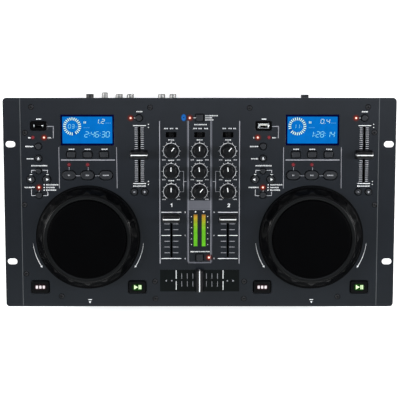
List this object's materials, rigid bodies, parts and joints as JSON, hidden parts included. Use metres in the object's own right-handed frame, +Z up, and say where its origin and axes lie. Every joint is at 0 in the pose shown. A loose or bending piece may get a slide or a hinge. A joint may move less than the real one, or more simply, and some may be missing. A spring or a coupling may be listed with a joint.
{
  "type": "dual disc player with mixer",
  "caption": "Tabletop dual disc player with slot-in drives, jog wheels and a central mixer on one rack-width panel with slotted ears.",
  "frame": {"origin": "on the surface the feet stand on, under the middle of the overall footprint", "axes": "+X to the right of someone who uses it, +Y to the rear where the sockets are, +Z up out of the control panel"},
  "size_m": [0.4826, 0.2656, 0.0995],
  "materials": {
    "body_paint": "matt charcoal powder coat",
    "wheel_plastic": "fine matt grain",
    "touch_plastic": "soft sheen",
    "control_cap": "satin",
    "key_plastic": "matt",
    "display_glass": "lit blue display",
    "drive_steel": "plain zinc plate",
    "hub_plastic": "satin",
    "board": "solder mask",
    "supply": "board and windings",
    "post_metal": "nickel plate",
    "port_frame": "satin",
    "socket_plastic": "satin"
  },
  "bodies": {
    "root": {"base_tray": "body_paint", "control_board": "board", "disc_drive_left": "drive_steel", "disc_drive_right": "drive_steel", "display_left": "display_glass", "display_right": "display_glass", "front_panel": "body_paint", "ground_post": "post_metal", "headphone_socket": "socket_plastic", "line_sockets": "socket_plastic", "mic_socket": "socket_plastic", "output_sockets": "socket_plastic", "power_inlet": "socket_plastic", "power_supply": "supply", "rear_panel": "body_paint", "top_panel": "body_paint", "usb_socket_left": "port_frame", "usb_socket_right": "port_frame"},
    "jog_left": {"jog_wheel_left": "wheel_plastic", "touch_plate_left": "touch_plastic"},
    "jog_right": {"jog_wheel_right": "wheel_plastic", "touch_plate_right": "touch_plastic"},
    "disc_hub_left": {"disc_hub_left": "hub_plastic"},
    "disc_hub_right": {"disc_hub_right": "hub_plastic"},
    "pitch_fader_left": {"pitch_fader_left": "control_cap"},
    "pitch_fader_right": {"pitch_fader_right": "control_cap"},
    "channel_fader_1": {"channel_fader_1": "control_cap"},
    "channel_fader_2": {"channel_fader_2": "control_cap"},
    "crossfader": {"crossfader": "control_cap"},
    "knob_gain_1": {"knob_gain_1": "control_cap"},
    "knob_high_1": {"knob_high_1": "control_cap"},
    "knob_low_1": {"knob_low_1": "control_cap"},
    "knob_cue_level": {"knob_cue_level": "control_cap"},
    "knob_cue_mix": {"knob_cue_mix": "control_cap"},
    "knob_master": {"knob_master": "control_cap"},
    "knob_gain_2": {"knob_gain_2": "control_cap"},
    "knob_high_2": {"knob_high_2": "control_cap"},
    "knob_low_2": {"knob_low_2": "control_cap"},
    "source_switch_1": {"source_switch_1": "key_plastic"},
    "cue_switch": {"cue_switch": "key_plastic"},
    "source_switch_2": {"source_switch_2": "key_plastic"},
    "power_button": {"power_button": "control_cap"},
    "play_key_left": {"play_key_left": "key_plastic"},
    "cue_key_left": {"cue_key_left": "key_plastic"},
    "play_key_right": {"play_key_right": "key_plastic"},
    "cue_key_right": {"cue_key_right": "key_plastic"},
    "pairing_button": {"pairing_button": "key_plastic"},
    "fader_start_button": {"fader_start_button": "key_plastic"},
    "display_keys_left": {"display_keys_left": "key_plastic"},
    "loop_keys_left": {"loop_keys_left": "key_plastic"},
    "search_keys_left": {"search_keys_left": "key_plastic"},
    "select_keys_left": {"select_keys_left": "key_plastic"},
    "pitch_key_left": {"pitch_key_left": "key_plastic"},
    "bend_keys_left": {"bend_keys_left": "key_plastic"},
    "display_keys_right": {"display_keys_right": "key_plastic"},
    "loop_keys_right": {"loop_keys_right": "key_plastic"},
    "search_keys_right": {"search_keys_right": "key_plastic"},
    "select_keys_right": {"select_keys_right": "key_plastic"},
    "pitch_key_right": {"pitch_key_right": "key_plastic"},
    "bend_keys_right": {"bend_keys_right": "key_plastic"}
  },
  "joints": [
    {"name": "jog_left_spin", "type": "hinge", "parent": "root", "child": "jog_left", "pos_m": [-0.13812, -0.04526, 0.08], "axis": [0, 0, 1], "continuous": true},
    {"name": "jog_right_spin", "type": "hinge", "parent": "root", "child": "jog_right", "pos_m": [0.13812, -0.04526, 0.08], "axis": [0, 0, 1], "continuous": true},
    {"name": "disc_hub_left_spin", "type": "hinge", "parent": "root", "child": "disc_hub_left", "pos_m": [-0.13812, -0.05825, 0.08], "axis": [0, 0, 1], "continuous": true},
    {"name": "disc_hub_right_spin", "type": "hinge", "parent": "root", "child": "disc_hub_right", "pos_m": [0.13812, -0.05825, 0.08], "axis": [0, 0, 1], "continuous": true},
    {"name": "pitch_fader_left_slide", "type": "slide", "parent": "root", "child": "pitch_fader_left", "axis": [0, 1, 0], "range_m": [-0.02955, 0.02955]},
    {"name": "pitch_fader_right_slide", "type": "slide", "parent": "root", "child": "pitch_fader_right", "axis": [0, 1, 0], "range_m": [-0.02955, 0.02955]},
    {"name": "channel_fader_1_slide", "type": "slide", "parent": "root", "child": "channel_fader_1", "axis": [0, 1, 0], "range_m": [-0.04402, 0.00099]},
    {"name": "channel_fader_2_slide", "type": "slide", "parent": "root", "child": "channel_fader_2", "axis": [0, 1, 0], "range_m": [-0.04402, 0.00099]},
    {"name": "crossfader_slide", "type": "slide", "parent": "root", "child": "crossfader", "axis": [1, 0, 0], "range_m": [-0.0225, 0.0225]},
    {"name": "knob_gain_1_turn", "type": "hinge", "parent": "root", "child": "knob_gain_1", "pos_m": [-0.03496, 0.06204, 0.08], "axis": [0, 0, 1], "range_deg": [-110, 190]},
    {"name": "knob_high_1_turn", "type": "hinge", "parent": "root", "child": "knob_high_1", "pos_m": [-0.03496, 0.03685, 0.08], "axis": [0, 0, 1], "range_deg": [-150, 150]},
    {"name": "knob_low_1_turn", "type": "hinge", "parent": "root", "child": "knob_low_1", "pos_m": [-0.03496, 0.01165, 0.08], "axis": [0, 0, 1], "range_deg": [-150, 150]},
    {"name": "knob_cue_level_turn", "type": "hinge", "parent": "root", "child": "knob_cue_level", "pos_m": [0, 0.06204, 0.08], "axis": [0, 0, 1], "range_deg": [-150, 150]},
    {"name": "knob_cue_mix_turn", "type": "hinge", "parent": "root", "child": "knob_cue_mix", "pos_m": [0, 0.03685, 0.08], "axis": [0, 0, 1], "range_deg": [-150, 150]},
    {"name": "knob_master_turn", "type": "hinge", "parent": "root", "child": "knob_master", "pos_m": [0, 0.01165, 0.08], "axis": [0, 0, 1], "range_deg": [-115, 185]},
    {"name": "knob_gain_2_turn", "type": "hinge", "parent": "root", "child": "knob_gain_2", "pos_m": [0.03496, 0.06204, 0.08], "axis": [0, 0, 1], "range_deg": [-110, 190]},
    {"name": "knob_high_2_turn", "type": "hinge", "parent": "root", "child": "knob_high_2", "pos_m": [0.03496, 0.03685, 0.08], "axis": [0, 0, 1], "range_deg": [-150, 150]},
    {"name": "knob_low_2_turn", "type": "hinge", "parent": "root", "child": "knob_low_2", "pos_m": [0.03496, 0.01165, 0.08], "axis": [0, 0, 1], "range_deg": [-150, 150]},
    {"name": "source_switch_1_slide", "type": "slide", "parent": "root", "child": "source_switch_1", "axis": [1, 0, 0], "range_m": [-0.00355, 0.00355]},
    {"name": "cue_switch_slide", "type": "slide", "parent": "root", "child": "cue_switch", "axis": [1, 0, 0], "range_m": [-0.00355, 0.00355]},
    {"name": "source_switch_2_slide", "type": "slide", "parent": "root", "child": "source_switch_2", "axis": [1, 0, 0], "range_m": [-0.00355, 0.00355]},
    {"name": "power_button_press", "type": "slide", "parent": "root", "child": "power_button", "axis": [0, 1, 0], "range_m": [-0.004, 0], "stiffness_N_per_m": 400, "springref_m": 0.0005},
    {"name": "play_key_left_press", "type": "slide", "parent": "root", "child": "play_key_left", "axis": [0, 0, 1], "range_m": [-0.001, 0], "stiffness_N_per_m": 400, "springref_m": 0.0005},
    {"name": "cue_key_left_press", "type": "slide", "parent": "root", "child": "cue_key_left", "axis": [0, 0, 1], "range_m": [-0.001, 0], "stiffness_N_per_m": 400, "springref_m": 0.0005},
    {"name": "play_key_right_press", "type": "slide", "parent": "root", "child": "play_key_right", "axis": [0, 0, 1], "range_m": [-0.001, 0], "stiffness_N_per_m": 400, "springref_m": 0.0005},
    {"name": "cue_key_right_press", "type": "slide", "parent": "root", "child": "cue_key_right", "axis": [0, 0, 1], "range_m": [-0.001, 0], "stiffness_N_per_m": 400, "springref_m": 0.0005},
    {"name": "pairing_button_press", "type": "slide", "parent": "root", "child": "pairing_button", "axis": [0, 0, 1], "range_m": [-0.001, 0], "stiffness_N_per_m": 400, "springref_m": 0.0005},
    {"name": "fader_start_button_press", "type": "slide", "parent": "root", "child": "fader_start_button", "axis": [0, 0, 1], "range_m": [-0.001, 0], "stiffness_N_per_m": 400, "springref_m": 0.0005},
    {"name": "display_keys_left_press", "type": "slide", "parent": "root", "child": "display_keys_left", "axis": [0, 0, 1], "range_m": [-0.001, 0], "stiffness_N_per_m": 400, "springref_m": 0.0005},
    {"name": "loop_keys_left_press", "type": "slide", "parent": "root", "child": "loop_keys_left", "axis": [0, 0, 1], "range_m": [-0.001, 0], "stiffness_N_per_m": 400, "springref_m": 0.0005},
    {"name": "search_keys_left_press", "type": "slide", "parent": "root", "child": "search_keys_left", "axis": [0, 0, 1], "range_m": [-0.001, 0], "stiffness_N_per_m": 400, "springref_m": 0.0005},
    {"name": "select_keys_left_press", "type": "slide", "parent": "root", "child": "select_keys_left", "axis": [0, 0, 1], "range_m": [-0.001, 0], "stiffness_N_per_m": 400, "springref_m": 0.0005},
    {"name": "pitch_key_left_press", "type": "slide", "parent": "root", "child": "pitch_key_left", "axis": [0, 0, 1], "range_m": [-0.001, 0], "stiffness_N_per_m": 400, "springref_m": 0.0005},
    {"name": "bend_keys_left_press", "type": "slide", "parent": "root", "child": "bend_keys_left", "axis": [0, 0, 1], "range_m": [-0.001, 0], "stiffness_N_per_m": 400, "springref_m": 0.0005},
    {"name": "display_keys_right_press", "type": "slide", "parent": "root", "child": "display_keys_right", "axis": [0, 0, 1], "range_m": [-0.001, 0], "stiffness_N_per_m": 400, "springref_m": 0.0005},
    {"name": "loop_keys_right_press", "type": "slide", "parent": "root", "child": "loop_keys_right", "axis": [0, 0, 1], "range_m": [-0.001, 0], "stiffness_N_per_m": 400, "springref_m": 0.0005},
    {"name": "search_keys_right_press", "type": "slide", "parent": "root", "child": "search_keys_right", "axis": [0, 0, 1], "range_m": [-0.001, 0], "stiffness_N_per_m": 400, "springref_m": 0.0005},
    {"name": "select_keys_right_press", "type": "slide", "parent": "root", "child": "select_keys_right", "axis": [0, 0, 1], "range_m": [-0.001, 0], "stiffness_N_per_m": 400, "springref_m": 0.0005},
    {"name": "pitch_key_right_press", "type": "slide", "parent": "root", "child": "pitch_key_right", "axis": [0, 0, 1], "range_m": [-0.001, 0], "stiffness_N_per_m": 400, "springref_m": 0.0005},
    {"name": "bend_keys_right_press", "type": "slide", "parent": "root", "child": "bend_keys_right", "axis": [0, 0, 1], "range_m": [-0.001, 0], "stiffness_N_per_m": 400, "springref_m": 0.0005}
  ]
}
